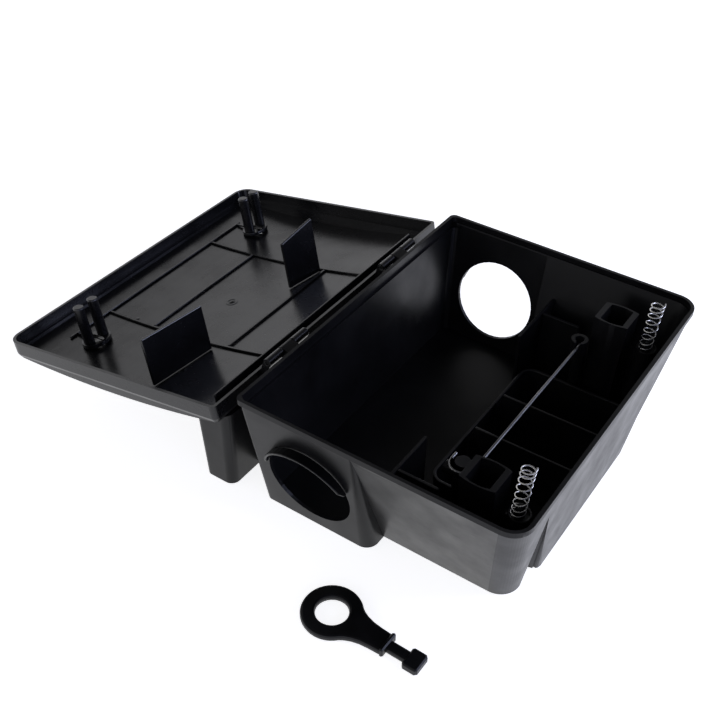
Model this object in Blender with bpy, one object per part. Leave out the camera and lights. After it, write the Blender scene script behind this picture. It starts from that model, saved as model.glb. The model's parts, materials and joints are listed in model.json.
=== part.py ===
"""Rodent bait station: a lockable black moulded box with its lid laid open, and its loose key.

Frame: the origin is the middle of the base's underside, +Z up. The lid's hinges are on the -X
side, the locking side is +X, and the two entrance holes face -Y and +Y. The lid is drawn shut
about its hinge axis and then swung open by the pivot that carries it.
Every size is in millimetres. MM turns it into metres when a mesh is made.
"""
import math

import bmesh
import bpy
from mathutils import Matrix, Vector

MM = 0.001
GAP = 0.3                    # clearance between pieces that touch

# base
LENGTH = 240.0               # rim, along Y
WIDTH = 181.0                # rim, along X
HEIGHT = 88.0                # underside to rim
WALL = 2.3
FLOOR = 2.5
RIM_LIP = 1.0                # how far the rim band stands proud of the wall
RIM_BAND = 3.5               # height of the rim band
REBATE_DEPTH = 3.4           # inner step just under the rim
FRONT_RADIUS = 13.0
BACK_RADIUS = 4.0
FOOTPRINT_Y = 90.5           # half length of the underside away from the tunnel
FOOTPRINT_FRONT = 76.5
FOOTPRINT_BACK = -84.0

# entrance tunnel along the hinge side
TUNNEL_Y = 105.0             # half length of the tunnel block at the underside
TUNNEL_TOP_X = -11.8
TUNNEL_FOOT_X = -6.9
TUNNEL_TOP_RADIUS = 2.0      # rounding of the block's two inner corners
TUNNEL_FOOT_RADIUS = 8.0
HOLE_X = -46.0
HOLE_Z = 37.5
HOLE_R = 28.5
HOOD_WALL = 1.6
HOOD_REACH = 7.0
HOOD_REACH_END = 2.2
HOOD_START = 22.0            # degrees round the hole from its +X side
HOOD_STOP = 168.0

# locking side: raised middle panel with a flared notch each side of it
PANEL_FOOT_X = 79.6
PANEL_FOOT_Y = 60.0
PANEL_TOP_Y = 78.0
PANEL_TOP_Z = 66.0
NOTCH_TOP_Z = 67.0
NOTCH_TIP_Y = -79.0
NOTCH_SKIN = 2.4             # wall left behind the notch
PANEL_CORNER = 5.6           # rounding of the panel's foot corner
PANEL_BACK_X = 40.0          # how deep the panel's body reaches into the box

# inner walls
FIN_X = -1.5
FIN_END_Y = 57.5
CROSS_WALL_Y = 90.0
CROSS_WALL_END_X = 26.0
INNER_WALL_TOP = 59.0
INNER_WALL = 2.0

# bait tray and its dividers
TRAY_BACK_X = 4.0
TRAY_FRONT_X = 78.0
TRAY_Y = 62.5
TRAY_TOP = 34.0
TRAY_WALL = 2.0
DIVIDER_Y = 18.2
DIVIDER_TOP = 43.0

# lock sockets, springs and bait rod
SOCKET_X = 50.5
SOCKET_Y = 84.5
SOCKET_TOP = 82.0
SPRING_X = 73.0
SPRING_Y = 85.3
SPRING_FOOT = 64.7
SPRING_TOP = 100.3
SPRING_R = 4.1
SPRING_WIRE = 0.45
SPRING_TURNS = 8
SEAT_FOOT_AT = (65.4, -82.4)
ROD_X = 36.6
ROD_Z = 64.0
ROD_R = 1.05
ROD_FAR_Y = 66.0
ROD_HOOK_Y = -69.0
ROD_HOOK_R = 7.35
ROD_HOOK_TAIL = 5.5
ROD_PLAY = 0.4               # clearance round the rod in its supports
PEG_Y = -71.0                # level peg under the rod's hook
PEG_R = 3.9
PEG_X = (19.5, 39.0)
EYE_AT = (35.8, 66.5)        # eye that takes the rod's far end
EYE_R = 5.5
EYE_BORE_R = 3.0
EYE_LOW = 58.0
EYE_TOP = 68.0

# hinges
AXIS_X = -99.0
AXIS_Z = 82.2
OPEN_ANGLE = 190.5           # degrees from shut to lying open
KNUCKLE_R = 2.9
PIN_R = 1.5
PIN_PLAY = 0.15
HINGE_CENTRE_Y = 61.0
KNUCKLE_HALF = 5.2
LUG_INNER = 5.6
LUG_OUTER = 19.0

# lid, in its shut position
LID_BACK_X = -92.0
LID_FRONT_X = 93.3
LID_Y = 122.6
LID_FRONT_RADIUS = 10.0
LID_BACK_RADIUS = 3.5
LID_RIM_Z = HEIGHT + GAP
SKIRT = 11.0
SKIRT_WALL = 2.0
HAT_INSET = 1.6              # the top stands in from the skirt's outside
HAT_RISE = 1.0               # and rises this much above it at its edges
PLATE = 2.2
LEDGE_DEPTH = 8.0            # depth of the step inside the skirt
LEDGE_WIDTH = 2.6
CROWN = 5.6                  # rise of the arched top
CROWN_HALF = 89.6
CROWN_X = 0.25
RIB_HEIGHT = 1.2
RIB_WALL = 1.8
CROSS_RIB_Y = 54.0
CROSS_RIB_BACK_X = -72.0
HINGE_SIDE_RIB_X = -40.0
MIDDLE_RIB_X = 27.5
FREE_SIDE_RIB_X = 69.6
FREE_SIDE_RIB_ENDS = (-91.0, 88.0)
PRONG_HALF_X = 4.2
PRONG_HALF_Y = 3.5
PRONG_SPREAD = 6.1
LIP_X = (-86.8, -85.4)       # locating lip inside the hinge side of the skirt
LIP_LOW = 85.9
LIP_ENDS = (-114.0, 96.0)
PRONG_TIP_Z = 71.0
KEYHOLE = (13.2, 5.2)        # slot along X between the prongs
PAD_HALF_X = 8.8
PAD_HALF_Y = 10.6
PAD_THICK = 2.4

# rear feet that carry the open lid
FOOT_X = -115.5
FOOT_TOP = 58.4              # at FOOT_X
FOOT_SLOPE = 0.26            # of its top, along the open lid

# key, lying flat in front of the near end
KEY_RING_AT = (0.9, -154.3)
KEY_TURN = -1.0              # degrees
KEY_THICK = 4.6
KEY_ROUND = 1.5              # rounding of the key's edges
KEY_RING_R = 17.8
KEY_HOLE_R = 9.5
KEY_COLLAR_AT = 37.5
KEY_SHAFT_END = 49.6
KEY_HEAD_LENGTH = 9.6
KEY_HEAD_HALF = 6.4

ARC_STEPS = 12


# ---------------------------------------------------------------- materials

def make_material(name, colour, roughness, metallic=0.0):
    material = bpy.data.materials.new(name)
    material.use_nodes = True
    shader = material.node_tree.nodes["Principled BSDF"]
    shader.inputs["Base Color"].default_value = (*colour, 1.0)
    shader.inputs["Roughness"].default_value = roughness
    shader.inputs["Metallic"].default_value = metallic
    return material


def paint(obj):
    """Give each sub-part a material of its own: bright steel for wires, black plastic for the rest."""
    if any(word in obj.name for word in ("spring", "bait_rod")) and "seat" not in obj.name:
        material = make_material(obj.name + "_steel", (0.62, 0.62, 0.60), 0.25, 1.0)
    elif "key" in obj.name:
        material = make_material(obj.name + "_plastic", (0.020, 0.020, 0.022), 0.45)
    else:
        material = make_material(obj.name + "_plastic", (0.030, 0.030, 0.034), 0.5)
    obj.data.materials.clear()
    obj.data.materials.append(material)


# ---------------------------------------------------------------- mesh helpers

def new_object(name, bm):
    """Turn a bmesh drawn in millimetres into an object in metres."""
    bmesh.ops.recalc_face_normals(bm, faces=bm.faces)
    bmesh.ops.scale(bm, vec=(MM, MM, MM), verts=bm.verts)
    mesh = bpy.data.meshes.new(name)
    bm.to_mesh(mesh)
    bm.free()
    obj = bpy.data.objects.new(name, mesh)
    bpy.context.collection.objects.link(obj)
    return obj


def loft(name, rings):
    """A closed solid through rings of equally many points, capped at both ends."""
    bm = bmesh.new()
    loops = [[bm.verts.new(point) for point in ring] for ring in rings]
    for low, high in zip(loops, loops[1:]):
        for i in range(len(low)):
            j = (i + 1) % len(low)
            bm.faces.new((low[i], low[j], high[j], high[i]))
    bm.faces.new(list(reversed(loops[0])))
    bm.faces.new(loops[-1])
    return new_object(name, bm)


def prism(name, outline, axis, start, end):
    """An outline of (a, b) pairs pushed along one axis, the other two axes in X, Y, Z order."""
    def place(a, b, along):
        point = {"X": (along, a, b), "Y": (a, along, b), "Z": (a, b, along)}
        return point[axis]
    return loft(name, [[place(a, b, along) for a, b in outline] for along in (start, end)])


def box(name, low, high):
    outline = [(low[0], low[1]), (high[0], low[1]), (high[0], high[1]), (low[0], high[1])]
    return prism(name, outline, "Z", low[2], high[2])


def rounded_rectangle(x0, x1, y0, y1, back_radius, front_radius, z):
    """A level outline with its own corner radius on the -X and the +X side."""
    corners = [(x0, y0, back_radius, 180), (x1, y0, front_radius, 270),
               (x1, y1, front_radius, 0), (x0, y1, back_radius, 90)]
    points = []
    for x, y, radius, start in corners:
        centre_x = x + radius if x == x0 else x - radius
        centre_y = y + radius if y == y0 else y - radius
        for step in range(ARC_STEPS + 1):
            angle = math.radians(start + 90 * step / ARC_STEPS)
            points.append((centre_x + radius * math.cos(angle),
                           centre_y + radius * math.sin(angle), z))
    return points


def circle(radius, steps, centre=(0.0, 0.0)):
    return [(centre[0] + radius * math.cos(2 * math.pi * i / steps),
             centre[1] + radius * math.sin(2 * math.pi * i / steps)) for i in range(steps)]


def wire(name, path, radius, sides, tangents):
    """A round wire along a path, with flat ends."""
    rings = []
    for point, tangent in zip(path, tangents):
        side = tangent.cross(Vector((0, 0, 1)))
        if side.length < 0.1:
            side = tangent.cross(Vector((1, 0, 0)))
        side.normalize()
        up = side.cross(tangent).normalized()
        turns = [2 * math.pi * i / sides for i in range(sides)]
        rings.append([point + side * radius * math.cos(a) + up * radius * math.sin(a)
                      for a in turns])
    return loft(name, rings)


def combine(target, other, operation):
    """Apply an exact Boolean of another object to the target and drop the other object."""
    modifier = target.modifiers.new(operation.lower(), "BOOLEAN")
    modifier.operation = operation
    modifier.solver = "EXACT"
    modifier.object = other
    graph = bpy.context.evaluated_depsgraph_get()
    mesh = bpy.data.meshes.new_from_object(target.evaluated_get(graph))
    mesh.name = target.name
    target.modifiers.clear()
    target.data = mesh
    bpy.data.objects.remove(other)
    return target


def cut(target, other):
    return combine(target, other, "DIFFERENCE")


def join(target, other):
    return combine(target, other, "UNION")


def finish(obj, pivot=None):
    """Shade, paint and, for a lid piece, hang the object on the lid's pivot."""
    obj.data.shade_smooth()
    obj.data.set_sharp_from_angle(angle=math.radians(32))
    paint(obj)
    if pivot is not None:
        axis = Vector((AXIS_X, 0, AXIS_Z)) * MM
        obj.data.transform(Matrix.Translation(-axis))
        obj.parent = pivot
    return obj


def at_end(end, y):
    """A Y position given for the near end, mirrored for the far end."""
    return y if end == "near" else -y


def mirrored_outline(end, outline, axis=0):
    """Mirror the Y value of an outline's pairs for the far end."""
    if end == "near":
        return outline
    flip = [(-a, b) if axis == 0 else (a, -b) for a, b in outline]
    return list(reversed(flip))


# ---------------------------------------------------------------- base

def wall_half_length(z):
    """Half length of the outside at a height, away from the tunnel."""
    return FOOTPRINT_Y + (LENGTH / 2 - RIM_LIP - FOOTPRINT_Y) * z / (HEIGHT - RIM_BAND)


def wall_front(z):
    return FOOTPRINT_FRONT + (WIDTH / 2 - RIM_LIP - FOOTPRINT_FRONT) * z / (HEIGHT - RIM_BAND)


def wall_back(z):
    return FOOTPRINT_BACK + (-WIDTH / 2 + RIM_LIP - FOOTPRINT_BACK) * z / (HEIGHT - RIM_BAND)


def tunnel_half_length(z):
    return TUNNEL_Y + (LENGTH / 2 - RIM_LIP - TUNNEL_Y) * z / (HEIGHT - RIM_BAND)


def body_ring(z, inset):
    return rounded_rectangle(wall_back(z) + inset, wall_front(z) - inset,
                             -wall_half_length(z) + inset, wall_half_length(z) - inset,
                             BACK_RADIUS, FRONT_RADIUS - inset, z)


def rim_ring(z, inset):
    return rounded_rectangle(-WIDTH / 2 + inset, WIDTH / 2 - inset,
                             -LENGTH / 2 + inset, LENGTH / 2 - inset,
                             BACK_RADIUS, FRONT_RADIUS - inset, z)


def tunnel_ring(z, inset):
    share = z / HEIGHT
    front = TUNNEL_FOOT_X + (TUNNEL_TOP_X - TUNNEL_FOOT_X) * share
    radius = TUNNEL_FOOT_RADIUS + (TUNNEL_TOP_RADIUS - TUNNEL_FOOT_RADIUS) * share
    half = tunnel_half_length(z) - 0.1
    return rounded_rectangle(wall_back(z) + inset + 0.05, front - inset,
                             -half + inset, half - inset, BACK_RADIUS, max(radius - inset, 0.5), z)


def grown(outline, distance):
    """An anticlockwise outline pushed outwards by a distance at every corner."""
    points = []
    for i, (x, y) in enumerate(outline):
        before = Vector((x - outline[i - 1][0], y - outline[i - 1][1])).normalized()
        following = outline[(i + 1) % len(outline)]
        after = Vector((following[0] - x, following[1] - y)).normalized()
        normal = Vector((before.y + after.y, -before.x - after.x)).normalized()
        points.append((x + normal.x * distance, y + normal.y * distance))
    return points


def notch_foot():
    """Outline of the near notch at the underside, round the foot corner of the panel."""
    outline = [(84.0, -54.0)]
    for step in range(4):
        angle = math.radians(-90 * step / 3)
        outline.append((PANEL_FOOT_X - PANEL_CORNER + PANEL_CORNER * math.cos(angle),
                        -56.0 + PANEL_CORNER * math.sin(angle)))
    outline += [(67.0, -63.0), (66.5, -70.0), (68.0, -74.0), (86.0, -80.0)]
    return outline


def notch(end, grow):
    """The flared notch beside the raised panel, grown on all sides to leave a skin inside."""
    tip_z = NOTCH_TOP_Z + 2 * grow
    tip = (wall_front(tip_z) + 1.0, NOTCH_TIP_Y)
    rings = []
    for z, share in ((-1.0 - grow * 0.1, 0.0), (tip_z, 0.97)):
        rings.append([(x + (tip[0] - x) * share, at_end(end, y + (tip[1] - y) * share), z)
                      for x, y in grown(notch_foot(), grow)])
    return loft(end + "_notch", rings)


def build_base_shell():
    rim_low = HEIGHT - RIM_BAND
    shell = loft("base_shell", [body_ring(0, 0), body_ring(rim_low, 0),
                                rim_ring(rim_low, 0), rim_ring(HEIGHT, 0)])
    join(shell, loft("tunnel", [tunnel_ring(0, 0), tunnel_ring(rim_low, 0),
                                tunnel_ring(rim_low + 1, 0.4)]))
    panel = []
    panel_levels = ((PANEL_FOOT_X, PANEL_FOOT_Y, 0.0),
                    (wall_front(PANEL_TOP_Z), PANEL_TOP_Y, PANEL_TOP_Z))
    for front, half, z in panel_levels:
        panel.append([(PANEL_BACK_X, -half, z), (front, -half, z),
                      (front, half, z), (PANEL_BACK_X, half, z)])
    join(shell, loft("panel", panel))

    rebate = HEIGHT - REBATE_DEPTH
    cavity = loft("cavity", [body_ring(FLOOR, WALL), body_ring(rebate, WALL + 0.3),
                             rim_ring(rebate, 2.3), rim_ring(HEIGHT + 2, 2.1)])
    join(cavity, loft("tunnel_cavity", [tunnel_ring(FLOOR, WALL),
                                        tunnel_ring(rebate - 1, WALL + 0.2)]))
    join(cavity, box("hinge_rebate", (-88.3, -116.0, HEIGHT - 7), (-80.0, 116.0, HEIGHT + 1)))
    for end in ("near", "far"):
        cut(shell, notch(end, 0.0))
        cut(cavity, notch(end, NOTCH_SKIN))
    cut(shell, cavity)
    for end in ("near", "far"):
        hole = prism("hole", circle(HOLE_R, 40, (HOLE_X, HOLE_Z)), "Y",
                     at_end(end, -130.0), at_end(end, -80.0))
        cut(shell, hole)
    return finish(shell)


def build_entrance_hood(end):
    """A half ring over the entrance, longest at its crown and fading to its two ends."""
    steps = 20
    bm = bmesh.new()
    sections = []
    for i in range(steps + 1):
        share = i / steps
        angle = math.radians(HOOD_START + (HOOD_STOP - HOOD_START) * share)
        fade = math.sin(math.pi * share) ** (0.3 if share < 0.5 else 0.7)
        reach = HOOD_REACH_END + (HOOD_REACH - HOOD_REACH_END) * fade
        section = []
        for radius in (HOLE_R, HOLE_R + HOOD_WALL):
            x = HOLE_X + radius * math.cos(angle)
            z = HOLE_Z + radius * math.sin(angle)
            wall = -tunnel_half_length(z) + 0.1 - GAP
            section.append((x, at_end(end, wall), z))
            section.append((x, at_end(end, wall - reach), z))
        sections.append([bm.verts.new(section[k]) for k in (0, 1, 3, 2)])
    for a, b in zip(sections, sections[1:]):
        for k in range(4):
            bm.faces.new((a[k], a[(k + 1) % 4], b[(k + 1) % 4], b[k]))
    bm.faces.new(sections[0])
    bm.faces.new(list(reversed(sections[-1])))
    return finish(new_object(end + "_entrance_hood", bm))


def build_fin_wall(end):
    """The wall between the tunnel and the bait room, standing from the end wall inwards."""
    low = FLOOR + GAP
    reach_low = wall_half_length(low) - WALL - GAP - 0.3
    reach_high = wall_half_length(INNER_WALL_TOP) - WALL - GAP - 0.3
    outline = [(-reach_low, low), (-FIN_END_Y, low), (-FIN_END_Y, INNER_WALL_TOP),
               (-reach_high, INNER_WALL_TOP)]
    outline = mirrored_outline(end, outline)
    half = INNER_WALL / 2
    return finish(prism(end + "_fin_wall", outline, "X", FIN_X - half, FIN_X + half))


def build_cross_wall(end):
    low = FLOOR + GAP
    start = FIN_X + INNER_WALL / 2 + GAP
    y = at_end(end, -CROSS_WALL_Y)
    if end == "near":
        y0, y1 = y, y + INNER_WALL
    else:
        y0, y1 = y - INNER_WALL, y
    foot = CROSS_WALL_Y - wall_half_length(low) + WALL + GAP
    outline = [(start, low + max(foot, 0) * 3.2), (CROSS_WALL_END_X, low + max(foot, 0) * 3.2),
               (CROSS_WALL_END_X, INNER_WALL_TOP), (start, INNER_WALL_TOP)]
    return finish(prism(end + "_cross_wall", outline, "Y", y0, y1))


def build_bait_tray():
    low = FLOOR + GAP
    def ring(z, inset):
        lean = (z - low) / (TRAY_TOP - low)
        return rounded_rectangle(TRAY_BACK_X + 1.2 - 1.2 * lean + inset,
                                 73.2 + (TRAY_FRONT_X - 73.2) * lean - inset,
                                 -TRAY_Y + 1.5 - 1.5 * lean + inset,
                                 TRAY_Y - 1.5 + 1.5 * lean - inset,
                                 9.0 - inset, 9.0 - inset, z)
    tray = loft("bait_tray", [ring(low, 0), ring(TRAY_TOP, 0)])
    cut(tray, loft("tray_room", [ring(low + TRAY_WALL, TRAY_WALL), ring(TRAY_TOP + 1, TRAY_WALL)]))
    return finish(tray)


def build_divider(end):
    low = FLOOR + GAP + TRAY_WALL + GAP
    y = at_end(end, -DIVIDER_Y)
    outline = [(TRAY_BACK_X + 3.6, low), (70.2, low), (73.6, TRAY_TOP), (73.9, DIVIDER_TOP),
               (10.5, DIVIDER_TOP), (8.0, TRAY_TOP), (TRAY_BACK_X + 3.0, TRAY_TOP - 6)]
    return finish(prism(end + "_bait_divider", outline, "Y", y - 0.8, y + 0.8))


def build_lock_socket(end):
    """A tall square tube that takes the lid's two prongs, with a bulge on its short sides."""
    low = FLOOR + GAP
    y = at_end(end, -SOCKET_Y)
    def ring(half_x, half_y, bulge, z, shift=0.0):
        points = []
        for side in (-1, 1):
            for step in range(7):
                along = -1 + 2 * step / 6
                points.append((SOCKET_X - shift + along * half_x * -side,
                               y + side * (half_y + bulge * (1 - along * along)), z))
        return points
    lean = at_end(end, 1.0)
    foot = [(x, yy + 5.2 * lean, z) for x, yy, z in ring(9.2, 7.6, 1.2, low, 1.0)]
    tube = loft(end + "_lock_socket", [foot, ring(11.0, 9.4, 1.6, SOCKET_TOP)])
    cut(tube, loft("socket_room", [ring(6.6, 7.6, 1.2, SOCKET_TOP - 34),
                                   ring(7.4, 8.6, 1.4, SOCKET_TOP + 1)]))
    return finish(tube)


def build_near_rod_support():
    """A post with a level peg under the rod's hook and a knob that stands inside the hook."""
    low = FLOOR + GAP
    centre = (ROD_X - ROD_HOOK_R, ROD_HOOK_Y)
    support = prism("near_rod_support", circle(4.4, 20, (centre[0], PEG_Y)), "Z", low, ROD_Z - 7.0)
    join(support, prism("peg", circle(PEG_R, 20, (PEG_Y, ROD_Z - ROD_R - GAP - PEG_R)), "X", *PEG_X))
    knob = circle(ROD_HOOK_R - ROD_R - 1.6, 20, centre)
    join(support, prism("knob", knob, "Z", ROD_Z - 6.0, ROD_Z + 2.0))
    return finish(support)


def build_far_rod_support():
    """A post with an eye that takes the rod's end, slotted so that the rod can be lifted out."""
    support = prism("far_rod_support", circle(4.4, 20, (EYE_AT[0], EYE_AT[1] + 4.0)), "Z",
                    FLOOR + GAP, EYE_LOW + 1.0)
    join(support, prism("eye", circle(EYE_R, 24, EYE_AT), "Z", EYE_LOW, EYE_TOP))
    play = ROD_R + ROD_PLAY
    cut(support, prism("eye_bore", circle(EYE_BORE_R, 20, EYE_AT), "Z", ROD_Z - play, EYE_TOP + 2))
    cut(support, box("slot", (ROD_X - play, EYE_AT[1] - EYE_R - 2, ROD_Z - play),
                     (ROD_X + play, EYE_AT[1], EYE_TOP + 2)))
    return finish(support)


def build_bait_rod():
    """A straight wire with a hairpin hook round the near support's knob."""
    path = [Vector((ROD_X, ROD_FAR_Y, ROD_Z)), Vector((ROD_X, ROD_HOOK_Y, ROD_Z))]
    tangents = [Vector((0, -1, 0)), Vector((0, -1, 0))]
    steps = 10
    for i in range(1, steps + 1):
        angle = math.pi * i / steps
        path.append(Vector((ROD_X - ROD_HOOK_R + ROD_HOOK_R * math.cos(angle),
                            ROD_HOOK_Y - ROD_HOOK_R * math.sin(angle), ROD_Z)))
        tangents.append(Vector((-math.sin(angle), -math.cos(angle), 0)))
    path.append(Vector((ROD_X - 2 * ROD_HOOK_R, ROD_HOOK_Y + ROD_HOOK_TAIL, ROD_Z)))
    tangents.append(Vector((0, 1, 0)))
    return finish(wire("bait_rod", path, ROD_R, 10, tangents))


def build_spring_seat(end):
    """A leaning post that follows the corner's draft, with a cup and a stud for the spring."""
    def ring(radius, z):
        return [(x, at_end(end, y), z) for x, y in circle(radius, 20, (SPRING_X, -SPRING_Y))]
    foot = [(x, at_end(end, y), FLOOR + GAP) for x, y in circle(4.6, 20, SEAT_FOOT_AT)]
    seat_z = SPRING_FOOT - GAP
    cup = [ring(6.6, seat_z - 8), ring(6.6, seat_z + 1.6), ring(5.4, seat_z + 1.6), ring(5.2, seat_z)]
    stud = [ring(2.9, seat_z), ring(2.6, seat_z + 7), ring(1.6, seat_z + 8)]
    return finish(loft(end + "_spring_seat", [foot] + cup + stud))


def build_spring(end):
    """A compression spring standing on its seat and reaching above the rim."""
    per_turn = 14
    count = SPRING_TURNS * per_turn
    path = []
    tangents = []
    height = SPRING_TOP - SPRING_FOOT - 2 * SPRING_WIRE
    for i in range(count + 1):
        share = i / count
        angle = 2 * math.pi * SPRING_TURNS * share
        rise = share - 0.055 * math.sin(2 * math.pi * share)
        z = SPRING_FOOT + SPRING_WIRE + height * rise
        path.append(Vector((SPRING_X + SPRING_R * math.cos(angle),
                            at_end(end, -SPRING_Y) + SPRING_R * math.sin(angle), z)))
    for i in range(count + 1):
        ahead = path[min(i + 1, count)] - path[max(i - 1, 0)]
        tangents.append(ahead.normalized())
    return finish(wire(end + "_spring", path, SPRING_WIRE, 6, tangents))


def build_hinge_knuckle(end):
    """The base's half of a hinge: an eye round the pin on an arm from the hinge wall."""
    steps = 20
    face_high = wall_back(AXIS_Z) - GAP
    face_low = wall_back(66.0) - GAP
    outline = [(face_low, 66.0), (face_high, AXIS_Z + 1.0)]
    for i in range(steps + 1):
        angle = math.radians(70 + 200 * i / steps)
        outline.append((AXIS_X + KNUCKLE_R * math.cos(angle), AXIS_Z + KNUCKLE_R * math.sin(angle)))
    y = at_end(end, -HINGE_CENTRE_Y)
    knuckle = prism(end + "_hinge_knuckle", outline, "Y", y - KNUCKLE_HALF, y + KNUCKLE_HALF)
    bore = prism("bore", circle(PIN_R + PIN_PLAY, 20, (AXIS_X, AXIS_Z)), "Y", y - 10, y + 10)
    return finish(cut(knuckle, bore))


def build_hinge_pin(end):
    y = at_end(end, -HINGE_CENTRE_Y)
    return finish(prism(end + "_hinge_pin", circle(PIN_R, 20, (AXIS_X, AXIS_Z)), "Y",
                        y - LUG_OUTER, y + LUG_OUTER))


def build_rear_foot(end):
    """A tapered box foot behind the hinge wall, open below, joined to the wall by a web."""
    def ring(z, inset, sloped):
        lean = z / FOOT_TOP
        outline = rounded_rectangle(-128.0 - 0.5 * lean + inset, -106.0 + 3.5 * lean - inset,
                                    -110.0 - 4.0 * lean + inset, -76.0 + 2.0 * lean - inset,
                                    4.0 - inset, 6.0 - inset, z)
        slope = FOOT_SLOPE if sloped else 0.0
        return [(x, at_end(end, y), zz + slope * (x - FOOT_X)) for x, y, zz in outline]
    foot = loft(end + "_rear_foot", [ring(0, 0, False), ring(FOOT_TOP, 0, True)])
    web = [(-108.0, 0.5), (wall_back(0.5) - GAP, 0.5), (wall_back(48.0) - GAP, 48.0), (-108.0, 48.0)]
    join(foot, prism("web", web, "Y", at_end(end, -84.0), at_end(end, -81.0)))
    cut(foot, loft("foot_room", [ring(-1, 2, False), ring(FOOT_TOP - 2.2, 2, True)]))
    return finish(foot)


# ---------------------------------------------------------------- lid, drawn shut

def crown(x):
    """Rise of the lid's arch above the flat edge of its top."""
    return CROWN * max(0.0, 1 - ((x - CROWN_X) / CROWN_HALF) ** 2)


def lid_ring(z, inset):
    return rounded_rectangle(LID_BACK_X + inset, LID_FRONT_X - inset, -LID_Y + inset, LID_Y - inset,
                             max(LID_BACK_RADIUS - inset, 0.6), LID_FRONT_RADIUS - inset, z)


def lid_top(x):
    """Height of the lid's outer face when it is shut."""
    return LID_RIM_Z + SKIRT + HAT_RISE + crown(x)


def lid_ceiling(x):
    """Height of the lid's inner face when it is shut."""
    return lid_top(x) - PLATE


def arch_cutter(name, height):
    """A block above an arched face, to trim a body to the lid's arch."""
    steps = 24
    low, high = LID_BACK_X - 2, LID_FRONT_X + 2
    outline = [(high, 130.0), (low, 130.0)]
    for i in range(steps + 1):
        x = low + (high - low) * i / steps
        outline.append((x, height(x)))
    return prism(name, outline, "Y", -LID_Y - 5, LID_Y + 5)


def keyhole_cutter(end):
    half = (KEYHOLE[0] - KEYHOLE[1]) / 2
    radius = KEYHOLE[1] / 2
    y = at_end(end, -SOCKET_Y)
    outline = []
    for side, start in ((1, -90), (-1, 90)):
        for i in range(9):
            angle = math.radians(start + 180 * i / 8)
            outline.append((SOCKET_X + side * half + radius * math.cos(angle),
                            y + radius * math.sin(angle)))
    return prism("keyhole", outline, "Z", 85, 115)


def build_lid_shell(pivot):
    skirt_z = LID_RIM_Z + SKIRT
    shell = loft("lid_shell", [lid_ring(LID_RIM_Z, 0), lid_ring(skirt_z - 2.0, 0),
                               lid_ring(skirt_z, 0.8), lid_ring(skirt_z, HAT_INSET),
                               lid_ring(skirt_z + 12, HAT_INSET + 1.2)])
    cut(shell, arch_cutter("arch", lid_top))
    ledge_z = LID_RIM_Z + LEDGE_DEPTH
    deep = SKIRT_WALL + LEDGE_WIDTH
    room = loft("lid_room", [lid_ring(LID_RIM_Z - 2, SKIRT_WALL), lid_ring(ledge_z, SKIRT_WALL + 0.2),
                             lid_ring(ledge_z, deep), lid_ring(skirt_z + 10, deep + 1.0)])
    cut(room, arch_cutter("arch_room", lid_ceiling))
    cut(shell, room)
    for end in ("near", "far"):
        cut(shell, keyhole_cutter(end))
    return finish(shell, pivot)


def build_hinge_side_lip(pivot):
    """A low lip inside the skirt that drops behind the base's rim when the lid is shut."""
    high = lid_ceiling(LIP_X[0]) - GAP
    low_corner = (LIP_X[0], LIP_ENDS[0], LIP_LOW)
    return finish(box("hinge_side_lip", low_corner, (LIP_X[1], LIP_ENDS[1], high)), pivot)


def build_long_rib(name, x, y0, y1, pivot):
    high = lid_ceiling(abs(x) + RIB_WALL / 2) - GAP
    rib = box(name, (x - RIB_WALL / 2, y0, high - RIB_HEIGHT), (x + RIB_WALL / 2, y1, high))
    return finish(rib, pivot)


def build_cross_rib(end, pivot):
    steps = 14
    span = FREE_SIDE_RIB_X - RIB_WALL / 2 - GAP - CROSS_RIB_BACK_X
    along = [CROSS_RIB_BACK_X + span * i / steps for i in range(steps + 1)]
    outline = [(x, lid_ceiling(x) - GAP) for x in along]
    outline += [(x, lid_ceiling(x) - GAP - RIB_HEIGHT) for x in reversed(along)]
    y = at_end(end, -CROSS_RIB_Y)
    return finish(prism(end + "_cross_rib", outline, "Y", y - RIB_WALL / 2, y + RIB_WALL / 2), pivot)


def build_baffle(end, pivot):
    """A hanging plate that makes the way in from the tunnel indirect."""
    if end == "near":
        start, stop, tip_start, tip_stop = (-23.5, -106.0), (-29.5, -58.4), 69.0, 70.0
    else:
        start, stop, tip_start, tip_stop = (-30.6, 24.0), (-36.0, 52.0), 68.0, 61.0
    rings = []
    for (x, y), tip in ((start, tip_start), (stop, tip_stop)):
        high = lid_ceiling(x) - GAP - 0.3
        rings.append([(x - 1.0, y, high), (x + 1.0, y, high), (x + 1.0, y, tip), (x - 1.0, y, tip)])
    return finish(loft(end + "_baffle", rings), pivot)


def pad_top():
    """Height at which the lock pad meets the arched ceiling at its lower side."""
    return lid_ceiling(SOCKET_X + PAD_HALF_X) - GAP


def build_lock_pad(end, pivot):
    """The thick oval round the keyhole that carries the two lock prongs."""
    y = at_end(end, -SOCKET_Y)
    outline = [(SOCKET_X + PAD_HALF_X * a, y + PAD_HALF_Y * b) for a, b in circle(1.0, 24)]
    low = pad_top() - PAD_THICK
    web_high = lid_ceiling(FREE_SIDE_RIB_X) - GAP
    pad = prism(end + "_lock_pad", outline, "Z", low, pad_top())
    web_end = FREE_SIDE_RIB_X - RIB_WALL / 2 - GAP
    join(pad, box("web", (SOCKET_X + PAD_HALF_X - 1.8, y - 0.9, low), (web_end, y + 0.9, web_high)))
    cut(pad, keyhole_cutter(end))
    return finish(pad, pivot)


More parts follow.
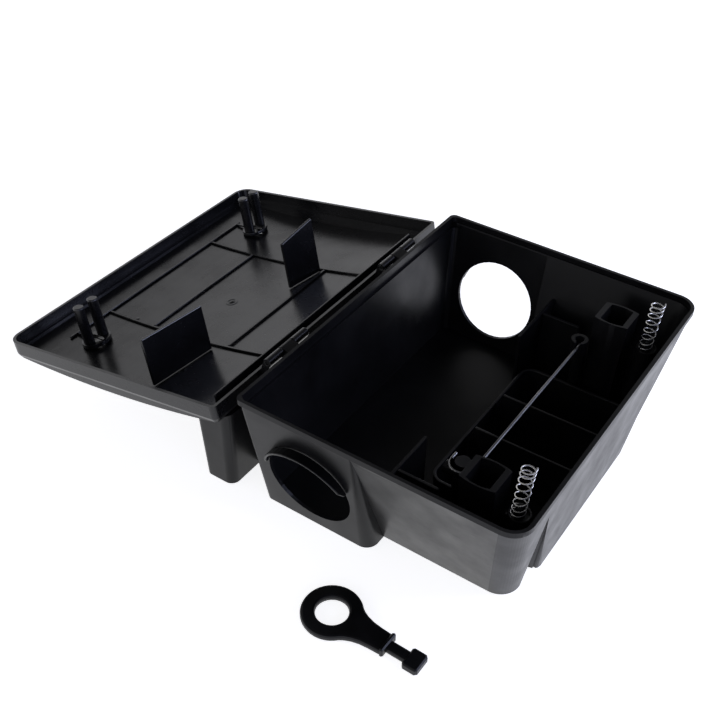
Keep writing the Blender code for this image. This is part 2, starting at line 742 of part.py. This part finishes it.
def build_lock_prong(end, side, pivot):
    """A springy post with a flat tip."""
    sign = -1 if side == "outer" else 1
    y = at_end(end, -SOCKET_Y + sign * PRONG_SPREAD)
    high = pad_top() - PAD_THICK - GAP
    profile = [(1.0, high), (0.95, PRONG_TIP_Z + 1.0), (0.88, PRONG_TIP_Z + 0.25), (0.8, PRONG_TIP_Z)]
    rings = [[(SOCKET_X + PRONG_HALF_X * a, y + PRONG_HALF_Y * b, z) for a, b in circle(share, 18)]
             for share, z in profile]
    return finish(loft(end + "_lock_prong_" + side, rings), pivot)


def build_lid_lug(end, side, pivot):
    """The lid's half of a hinge: an eye round the pin on an arm from the lid's skirt."""
    steps = 20
    skirt = LID_BACK_X - GAP
    outline = [(skirt, LID_RIM_Z + 0.8), (skirt, LID_RIM_Z + 9.5)]
    for i in range(steps + 1):
        angle = math.radians(120 + 230 * i / steps)
        outline.append((AXIS_X + KNUCKLE_R * math.cos(angle), AXIS_Z + KNUCKLE_R * math.sin(angle)))
    sign = -1 if side == "outer" else 1
    y0 = at_end(end, -HINGE_CENTRE_Y + sign * LUG_INNER)
    y1 = at_end(end, -HINGE_CENTRE_Y + sign * LUG_OUTER)
    low, high = sorted((y0, y1))
    lug = prism(end + "_lid_lug_" + side, outline, "Y", low, high)
    bore = prism("bore", circle(PIN_R + PIN_PLAY, 20, (AXIS_X, AXIS_Z)), "Y", low - 5, high + 5)
    return finish(cut(lug, bore), pivot)


# ---------------------------------------------------------------- key

def round_edges(obj, width, segments=2):
    """Round every sharp edge of a piece."""
    modifier = obj.modifiers.new("round", "BEVEL")
    modifier.width = width * MM
    modifier.segments = segments
    modifier.limit_method = "ANGLE"
    modifier.angle_limit = math.radians(50)
    graph = bpy.context.evaluated_depsgraph_get()
    mesh = bpy.data.meshes.new_from_object(obj.evaluated_get(graph))
    obj.modifiers.clear()
    obj.data = mesh
    return obj


def build_key():
    """A flat ring with a flared neck, a collar, a narrow shaft and a T-shaped head."""
    steps = 36
    outline = []
    for i in range(steps + 1):
        angle = math.radians(42 + 276 * i / steps)
        outline.append((KEY_RING_R * math.cos(angle), KEY_RING_R * math.sin(angle)))
    neck = ((15.5, 10.4), (19.0, 8.8), (23.5, 7.6), (29.0, 7.0), (KEY_COLLAR_AT, 6.6))
    outline += [(x, -half) for x, half in neck]
    outline += [(x, half) for x, half in reversed(neck)]
    key = prism("key", outline, "Z", 0, KEY_THICK)
    cut(key, prism("ring_hole", circle(KEY_HOLE_R, 36), "Z", -2, KEY_THICK + 2))
    round_edges(key, KEY_ROUND)
    collar = box("collar", (KEY_COLLAR_AT - 1.9, -7.0, 0.0), (KEY_COLLAR_AT + 0.6, 7.0, KEY_THICK + 1.5))
    join(key, round_edges(collar, 0.8, 1))
    shaft = box("shaft", (KEY_COLLAR_AT - 3.0, -3.5, 0.2), (KEY_SHAFT_END + 3.0, 3.5, KEY_THICK - 0.1))
    join(key, round_edges(shaft, KEY_ROUND))
    tip = KEY_SHAFT_END + KEY_HEAD_LENGTH
    half = KEY_HEAD_HALF
    chamfer = 1.4
    head = [(KEY_SHAFT_END + 1.0, -half), (tip - chamfer, -half), (tip, chamfer - half),
            (tip, half - chamfer), (tip - chamfer, half), (KEY_SHAFT_END + 1.0, half),
            (KEY_SHAFT_END, half - 1.0), (KEY_SHAFT_END, 1.0 - half)]
    join(key, round_edges(prism("head", head, "Z", 0, KEY_THICK + 0.2), 0.8, 1))
    key.location = (KEY_RING_AT[0] * MM, KEY_RING_AT[1] * MM, 0)
    key.rotation_euler = (0, 0, math.radians(KEY_TURN))
    return finish(key)


# ---------------------------------------------------------------- assembly

def clear_scene():
    for obj in list(bpy.data.objects):
        bpy.data.objects.remove(obj)


def build_lid():
    pivot = bpy.data.objects.new("lid_pivot", None)
    bpy.context.collection.objects.link(pivot)
    pivot.location = (AXIS_X * MM, 0, AXIS_Z * MM)
    pivot.rotation_euler = (0, math.radians(-OPEN_ANGLE), 0)
    build_lid_shell(pivot)
    reach = CROSS_RIB_Y - RIB_WALL / 2 - GAP
    build_hinge_side_lip(pivot)
    build_long_rib("hinge_side_rib", HINGE_SIDE_RIB_X, -reach, reach, pivot)
    build_long_rib("middle_rib", MIDDLE_RIB_X, -reach, reach, pivot)
    build_long_rib("free_side_rib", FREE_SIDE_RIB_X, *FREE_SIDE_RIB_ENDS, pivot)
    for end in ("near", "far"):
        build_cross_rib(end, pivot)
        build_baffle(end, pivot)
        build_lock_pad(end, pivot)
        for side in ("outer", "inner"):
            build_lock_prong(end, side, pivot)
            build_lid_lug(end, side, pivot)


def build_station():
    clear_scene()
    build_base_shell()
    build_bait_tray()
    build_bait_rod()
    build_near_rod_support()
    build_far_rod_support()
    for end in ("near", "far"):
        build_entrance_hood(end)
        build_fin_wall(end)
        build_cross_wall(end)
        build_divider(end)
        build_lock_socket(end)
        build_spring_seat(end)
        build_spring(end)
        build_hinge_knuckle(end)
        build_hinge_pin(end)
        build_rear_foot(end)
    build_lid()
    build_key()


build_station()
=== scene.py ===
"""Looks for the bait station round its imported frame.

Materials for every slot, spring coils and two moulding marks, floor, light and camera.
"""
import json
import math

import bmesh
import bpy
from mathutils import Matrix, Vector

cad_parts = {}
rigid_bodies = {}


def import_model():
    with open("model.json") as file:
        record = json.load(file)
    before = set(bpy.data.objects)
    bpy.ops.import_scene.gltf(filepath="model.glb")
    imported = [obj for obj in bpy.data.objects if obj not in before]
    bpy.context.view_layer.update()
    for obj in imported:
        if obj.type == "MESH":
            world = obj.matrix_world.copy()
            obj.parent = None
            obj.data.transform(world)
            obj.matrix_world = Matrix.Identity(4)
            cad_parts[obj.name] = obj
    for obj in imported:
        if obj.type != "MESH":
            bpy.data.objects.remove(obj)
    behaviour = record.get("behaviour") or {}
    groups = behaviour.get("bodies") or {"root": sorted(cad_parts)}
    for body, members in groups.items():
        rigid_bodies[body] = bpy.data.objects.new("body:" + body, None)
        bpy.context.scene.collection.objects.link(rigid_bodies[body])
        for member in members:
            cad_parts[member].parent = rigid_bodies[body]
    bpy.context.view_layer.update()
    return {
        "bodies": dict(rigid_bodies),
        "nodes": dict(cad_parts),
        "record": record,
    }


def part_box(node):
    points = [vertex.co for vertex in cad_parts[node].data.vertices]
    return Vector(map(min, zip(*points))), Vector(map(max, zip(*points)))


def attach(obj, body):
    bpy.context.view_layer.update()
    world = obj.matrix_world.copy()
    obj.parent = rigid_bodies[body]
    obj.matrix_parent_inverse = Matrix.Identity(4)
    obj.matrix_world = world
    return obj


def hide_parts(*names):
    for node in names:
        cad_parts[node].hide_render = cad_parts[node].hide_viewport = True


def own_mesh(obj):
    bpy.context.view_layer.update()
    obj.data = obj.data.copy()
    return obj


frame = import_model()
ENDS = ("near", "far")

# Sizes are in metres, angles in degrees.
CAMERA_AT = (0.2116, -0.4463, 0.4784)
CAMERA_TURN = -33.746         # heading, from +Y towards +X
CAMERA_PITCH = 39.425         # how far it looks down
CAMERA_ROLL = 1.001
CAMERA_LENS = 52.695          # mm
CAMERA_SENSOR = 36            # mm

PLASTIC_DUST = (0.05, 0.05, 0.052)
EDGE_ROUND = {"base_shell": 0.55, "lid_shell": 0.55, "bait_tray": 0.5, "lock_socket": 0.5,
              "entrance_hood": 0.6, "lock_prong_outer": 0.0, "lock_prong_inner": 0.0,
              "rear_foot": 0.8, "baffle": 0.45, "spring_seat": 0.35, "hinge_pin": 0.3,
              "key": 0.0}     # mm, by piece without its end's name
EDGE_ROUND_ELSE = 0.35        # mm
WELD_DISTANCE = 0.000002
FLAT_ANGLE = 0.4              # faces closer than this in angle become one
ROUND_ANGLE = 35              # edges sharper than this are rounded

SPRING_WIRE = 0.00042         # radius of the wire
SPRING_TURNS = 8.0
SPRING_START = 0.6            # radians, where the wire starts round the coil
SPRING_CLOSED = 0.055         # how much closer the turns lie at both ends
SPRING_LEAN = 0.0011          # how far the top leans along +X
SPRING_LEAN_Y = 0.6           # the same along +Y, as a share of it
SPRING_STEPS = 260

# Turned marks on the lid's inner face: where, ring radii, ring heights.
LID_MARKS = {
    "lid_gate_mark": ((-0.191, -0.0052), (0.0046, 0.0043, 0.0030, 0.0026, 0.0011),
                      (-0.0006, 0.0003, 0.0003, 0.0, 0.0006)),
    "lid_ejector_pip": ((-0.238, -0.0508), (0.0016, 0.0015, 0.0010),
                        (-0.0006, 0.0003, 0.0004)),
}
ABOVE_LID = 0.3               # height from which a mark is dropped onto the face

FLOOR_HALF = 4.0
FLOOR_GLOW = 0.84


# ---------------------------------------------------------------- camera

def make_camera():
    turn, pitch, roll = (math.radians(angle) for angle in (CAMERA_TURN, CAMERA_PITCH, CAMERA_ROLL))
    forward = Vector((math.sin(turn) * math.cos(pitch),
                      math.cos(turn) * math.cos(pitch), -math.sin(pitch)))
    right = Vector((math.cos(turn), -math.sin(turn), 0))
    up = right.cross(forward)
    right_rolled = right * math.cos(roll) + up * math.sin(roll)
    up_rolled = up * math.cos(roll) - right * math.sin(roll)
    matrix = Matrix((right_rolled, up_rolled, -forward)).transposed().to_4x4()
    matrix.translation = Vector(CAMERA_AT)
    data = bpy.data.cameras.new("camera")
    data.sensor_width = CAMERA_SENSOR
    data.lens = CAMERA_LENS
    data.clip_start = 0.01
    camera = bpy.data.objects.new("camera", data)
    camera.matrix_world = matrix
    bpy.context.scene.collection.objects.link(camera)
    bpy.context.scene.camera = camera


# ---------------------------------------------------------------- node helpers

class Nodes:
    """A small helper to write a material's node tree."""

    def __init__(self, name):
        self.material = bpy.data.materials.new(name)
        self.material.use_nodes = True
        self.tree = self.material.node_tree
        self.shader = self.tree.nodes["Principled BSDF"]
        self.place = self.add("ShaderNodeTexCoord").outputs["Object"]

    def add(self, kind, **settings):
        node = self.tree.nodes.new(kind)
        for key, value in settings.items():
            setattr(node, key, value)
        return node

    def link(self, source, target):
        self.tree.links.new(source, target)

    def stretched(self, scale):
        mapping = self.add("ShaderNodeMapping")
        mapping.inputs["Scale"].default_value = scale
        self.link(self.place, mapping.inputs["Vector"])
        return mapping.outputs["Vector"]

    def noise(self, scale, detail, roughness, stretch=None):
        node = self.add("ShaderNodeTexNoise")
        node.inputs["Scale"].default_value = scale
        node.inputs["Detail"].default_value = detail
        node.inputs["Roughness"].default_value = roughness
        self.link(self.stretched(stretch) if stretch else self.place, node.inputs["Vector"])
        return node.outputs["Fac"]

    def cells(self, scale):
        node = self.add("ShaderNodeTexVoronoi", feature="F1")
        node.inputs["Scale"].default_value = scale
        self.link(self.place, node.inputs["Vector"])
        return node.outputs["Distance"]

    def remap(self, value, low, high, to_low, to_high):
        node = self.add("ShaderNodeMapRange")
        node.clamp = True
        limits = {"From Min": low, "From Max": high, "To Min": to_low, "To Max": to_high}
        for name, number in limits.items():
            node.inputs[name].default_value = number
        self.link(value, node.inputs["Value"])
        return node.outputs["Result"]

    def math(self, operation, a, b):
        node = self.add("ShaderNodeMath", operation=operation)
        for socket, value in zip(node.inputs, (a, b)):
            if isinstance(value, (int, float)):
                socket.default_value = value
            else:
                self.link(value, socket)
        return node.outputs["Value"]

    def mix(self, factor, a, b):
        node = self.add("ShaderNodeMix", data_type="RGBA")
        for name, value in (("Factor", factor), ("A", a), ("B", b)):
            socket = node.inputs[name]
            if isinstance(value, tuple):
                socket.default_value = (*value, 1.0)
            else:
                self.link(value, socket)
        return node.outputs["Result"]

    def bump(self, height, strength, distance, normal=None):
        node = self.add("ShaderNodeBump")
        node.inputs["Strength"].default_value = strength
        node.inputs["Distance"].default_value = distance
        self.link(height, node.inputs["Height"])
        if normal is not None:
            self.link(normal, node.inputs["Normal"])
        return node.outputs["Normal"]

    def set(self, **values):
        for name, value in values.items():
            socket = self.shader.inputs[name.replace("_", " ")]
            if isinstance(value, (int, float)):
                socket.default_value = value
            elif isinstance(value, tuple):
                socket.default_value = (*value, 1.0)
            else:
                self.link(value, socket)


# ---------------------------------------------------------------- materials

def scaled(colour, factor, added=0.0):
    return tuple(min(1.0, channel * factor + added) for channel in colour)


def moulded_plastic(name, colour, roughness, index, grain, cloud=16.0):
    """Black injection-moulded plastic: spark-eroded grain, cloudy gloss, faint scuffs and dust."""
    n = Nodes(name)
    clouds = n.noise(cloud, 4.0, 0.6)
    tone = n.mix(n.remap(clouds, 0.38, 0.68, 0.0, 1.0), colour, scaled(colour, 1.8, 0.0015))
    scuffs = n.noise(1.0, 3.0, 0.6, stretch=(55.0, 420.0, 900.0))
    scuff_mask = n.math("MULTIPLY", n.remap(scuffs, 0.62, 0.72, 0.0, 0.3),
                        n.remap(clouds, 0.45, 0.62, 0.0, 1.0))
    tone = n.mix(scuff_mask, tone, scaled(colour, 3.0, 0.008))
    specks = n.remap(n.cells(300.0), 0.04, 0.08, 0.5, 0.0)
    dusty = n.math("MULTIPLY", specks, n.remap(clouds, 0.5, 0.7, 0.0, 1.0))
    tone = n.mix(dusty, tone, PLASTIC_DUST)
    patches = n.noise(cloud * 3.1, 3.0, 0.55)
    gloss = n.remap(patches, 0.3, 0.7, roughness - 0.05, roughness + 0.07)
    gloss = n.math("ADD", gloss, n.math("MULTIPLY", scuff_mask, 0.3))
    fine = n.noise(1900.0, 2.0, 0.6)
    wavy = n.noise(60.0, 2.0, 0.5)
    normal = n.bump(wavy, 0.25, 0.0003)
    normal = n.bump(fine, grain, 0.00002, normal)
    n.set(Base_Color=tone, Roughness=gloss, Normal=normal, IOR=index)
    return n.material


def bright_steel(name, colour, roughness, along):
    """Drawn steel wire: fine draw lines along one axis, with slightly darker patches."""
    n = Nodes(name)
    stretch = tuple(2600.0 if axis != along else 60.0 for axis in range(3))
    lines = n.noise(1.0, 2.0, 0.5, stretch=stretch)
    patches = n.noise(180.0, 3.0, 0.6)
    tone = n.mix(n.remap(patches, 0.4, 0.75, 0.0, 0.7), colour, scaled(colour, 0.55))
    gloss = n.remap(patches, 0.3, 0.7, roughness - 0.06, roughness + 0.12)
    n.set(Base_Color=tone, Roughness=gloss, Metallic=1.0, Normal=n.bump(lines, 0.4, 0.00002))
    return n.material


def make_materials():
    return {
        "base_plastic": moulded_plastic("base_plastic", (0.0024, 0.0024, 0.0027), 0.34, 1.29, 0.5),
        "lid_plastic": moulded_plastic("lid_plastic", (0.0026, 0.0026, 0.0030), 0.24, 1.47, 0.4,
                                       13.0),
        "tray_plastic": moulded_plastic("tray_plastic", (0.0030, 0.0030, 0.0033), 0.30, 1.40, 0.4),
        "key_plastic": moulded_plastic("key_plastic", (0.0024, 0.0024, 0.0027), 0.34, 1.32, 0.4,
                                       40.0),
        "spring_steel": bright_steel("spring_steel", (0.58, 0.57, 0.54), 0.20, 2),
        "rod_steel": bright_steel("rod_steel", (0.26, 0.26, 0.26), 0.30, 1),
    }


def dress_frame(materials):
    """Give each frame node its slot's material, and softly rounded edges where it is shown."""
    for row in frame["record"]["subparts"]:
        node = frame["nodes"][row["node"]]
        node.data.materials.clear()
        node.data.materials.append(materials[row["material_slot"]])
        if not node.hide_render:
            kind = row["node"].replace("near_", "").replace("far_", "")
            soften(node, EDGE_ROUND.get(kind, EDGE_ROUND_ELSE))


def soften(node, width):
    """Weld the mesh, and round its sharp edges by a width in millimetres."""
    weld = node.modifiers.new("weld", "WELD")
    weld.merge_threshold = WELD_DISTANCE
    if width > 0:
        flat = node.modifiers.new("flat", "DECIMATE")
        flat.decimate_type = "DISSOLVE"
        flat.angle_limit = math.radians(FLAT_ANGLE)
        bevel = node.modifiers.new("edges", "BEVEL")
        bevel.width = width / 1000
        bevel.segments = 2
        bevel.limit_method = "ANGLE"
        bevel.angle_limit = math.radians(ROUND_ANGLE)
        bevel.use_clamp_overlap = True


# ---------------------------------------------------------------- floor and light

def link_mesh(name, bm):
    """A new object in the scene from a bmesh."""
    mesh = bpy.data.meshes.new(name)
    bm.to_mesh(mesh)
    bm.free()
    piece = bpy.data.objects.new(name, mesh)
    bpy.context.scene.collection.objects.link(piece)
    return piece


def make_floor():
    bm = bmesh.new()
    bmesh.ops.create_grid(bm, x_segments=2, y_segments=2, size=FLOOR_HALF)
    floor = link_mesh("floor", bm)
    n = Nodes("floor_paper")
    paper = n.noise(60.0, 3.0, 0.5)
    n.set(Base_Color=n.mix(paper, (0.80, 0.80, 0.80), (0.84, 0.84, 0.84)), Roughness=0.85,
          Emission_Color=(1.0, 1.0, 1.0), Emission_Strength=FLOOR_GLOW)
    n.set(Normal=n.bump(paper, 0.1, 0.0002))
    floor.data.materials.append(n.material)


def area_light(name, place, aim, size, power, colour):
    data = bpy.data.lights.new(name, "AREA")
    data.shape = "RECTANGLE"
    data.size, data.size_y = size
    data.energy = power
    data.color = colour
    light = bpy.data.objects.new(name, data)
    light.location = place
    light.rotation_euler = (Vector(aim) - Vector(place)).to_track_quat("-Z", "Y").to_euler()
    bpy.context.scene.collection.objects.link(light)


def make_world():
    """A studio with a bright backdrop low down, dark above it, and cooler from the +X side."""
    world = bpy.data.worlds.new("world")
    world.use_nodes = True
    tree = world.node_tree
    background = tree.nodes["Background"]
    direction = tree.nodes.new("ShaderNodeTexCoord").outputs["Generated"]
    split = tree.nodes.new("ShaderNodeSeparateXYZ")
    tree.links.new(direction, split.inputs["Vector"])
    height = tree.nodes.new("ShaderNodeMapRange")
    height.interpolation_type = "SMOOTHSTEP"
    limits = {"From Min": 0.46, "From Max": 0.60, "To Min": 0.95, "To Max": 0.11}
    for name, number in limits.items():
        height.inputs[name].default_value = number
    tree.links.new(split.outputs["Z"], height.inputs["Value"])
    side = tree.nodes.new("ShaderNodeMapRange")
    side.inputs["From Min"].default_value = -0.2
    side.inputs["From Max"].default_value = 0.7
    tree.links.new(split.outputs["X"], side.inputs["Value"])
    tint = tree.nodes.new("ShaderNodeMix")
    tint.data_type = "RGBA"
    tint.inputs["A"].default_value = (0.97, 0.97, 1.0, 1.0)
    tint.inputs["B"].default_value = (0.78, 0.84, 1.25, 1.0)
    tree.links.new(side.outputs["Result"], tint.inputs["Factor"])
    tree.links.new(tint.outputs["Result"], background.inputs["Color"])
    tree.links.new(height.outputs["Result"], background.inputs["Strength"])
    bpy.context.scene.world = world


def make_lights():
    make_world()
    area_light("softbox_right", (0.56, 0.30, 0.34), (0.14, 0.10, 0.0), (0.34, 0.34), 2.6,
               (0.66, 0.72, 1.0))
    bpy.context.scene.view_settings.view_transform = "Standard"


# ---------------------------------------------------------------- fine pieces

def skin(name, rings, sharp):
    """A closed piece through rings of equally many points, smooth below a sharp angle."""
    bm = bmesh.new()
    loops = [[bm.verts.new(point) for point in ring] for ring in rings]
    count = len(loops[0])
    for low, high in zip(loops, loops[1:]):
        for k in range(count):
            bm.faces.new((low[k], low[(k + 1) % count], high[(k + 1) % count], high[k]))
    bm.faces.new(list(reversed(loops[0])))
    bm.faces.new(loops[-1])
    bmesh.ops.recalc_face_normals(bm, faces=bm.faces)
    piece = link_mesh(name, bm)
    piece.data.shade_smooth()
    piece.data.set_sharp_from_angle(angle=math.radians(sharp))
    return piece


def tube(name, path, radius, sides):
    """A round wire along a path, with flat ends."""
    rings = []
    side = None
    last = len(path) - 1
    for i, point in enumerate(path):
        ahead = (path[min(i + 1, last)] - path[max(i - 1, 0)]).normalized()
        side = ahead.cross(Vector((0, 0, 1))) if side is None else side - ahead * side.dot(ahead)
        side.normalize()
        up = side.cross(ahead)
        turns = [2 * math.pi * k / sides for k in range(sides)]
        rings.append([point + (side * math.cos(a) + up * math.sin(a)) * radius for a in turns])
    return skin(name, rings, 50)


def disc(name, radii, heights):
    """A low turned boss round the Z axis, from rings of given radii and heights."""
    steps = 28
    turns = [2 * math.pi * k / steps for k in range(steps)]
    rings = [[(radius * math.cos(a), radius * math.sin(a), height) for a in turns]
             for radius, height in zip(radii, heights)]
    return skin(name, rings, 35)


def body_name(node_name):
    """The body a frame node belongs to."""
    above = frame["nodes"][node_name].parent
    names = {empty.name: name for name, empty in frame["bodies"].items()}
    while above.name not in names:
        above = above.parent
    return names[above.name]


def place(piece, node_name, material_slot, materials, replaced=()):
    """Let a piece ride with a frame node's body and take a slot's material."""
    piece.data.materials.append(materials[material_slot])
    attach(piece, body_name(node_name))
    if replaced:
        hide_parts(*replaced)


def make_spring(end, materials):
    """A compression spring: close turns at both ends, open ones between, leaning a little."""
    name = end + "_spring"
    low, high = (Vector(corner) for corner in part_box(name))
    centre = (low + high) / 2
    radius = (high[0] - low[0]) / 2 - SPRING_WIRE - SPRING_LEAN * 0.15
    bottom, top = low[2] + SPRING_WIRE, high[2] - SPRING_WIRE
    path = []
    for i in range(SPRING_STEPS + 1):
        share = i / SPRING_STEPS
        turn = 2 * math.pi * SPRING_TURNS * share + SPRING_START
        rise = share - SPRING_CLOSED * math.sin(2 * math.pi * share)
        lean = SPRING_LEAN * (2 * share - 1)
        path.append(Vector((centre.x + lean + radius * math.cos(turn),
                            centre.y + lean * SPRING_LEAN_Y + radius * math.sin(turn),
                            bottom + (top - bottom) * rise)))
    coil = tube(end + "_spring_coil", path, SPRING_WIRE, 10)
    place(coil, name, "spring_steel", materials, (name,))
    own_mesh(coil)


def make_lid_mark(name, materials):
    """A small round moulding mark, set on the lid's inner face."""
    spot, radii, heights = LID_MARKS[name]
    shell = frame["nodes"]["lid_shell"]
    to_shell = shell.matrix_world.inverted()
    start = to_shell @ Vector((*spot, ABOVE_LID))
    aim = (to_shell.to_3x3() @ Vector((0, 0, -1))).normalized()
    _, point, normal, _ = shell.ray_cast(start, aim)
    point = shell.matrix_world @ point
    normal = (shell.matrix_world.to_3x3() @ normal).normalized()
    piece = disc(name, radii, heights)
    turn = normal.to_track_quat("Z", "Y").to_matrix().to_4x4()
    piece.matrix_world = Matrix.Translation(point) @ turn
    place(piece, "lid_shell", "lid_plastic", materials)


# ---------------------------------------------------------------- assembly


make_camera()
materials = make_materials()
dress_frame(materials)
for end in ENDS:
    make_spring(end, materials)
for mark in LID_MARKS:
    make_lid_mark(mark, materials)
make_floor()
make_lights()
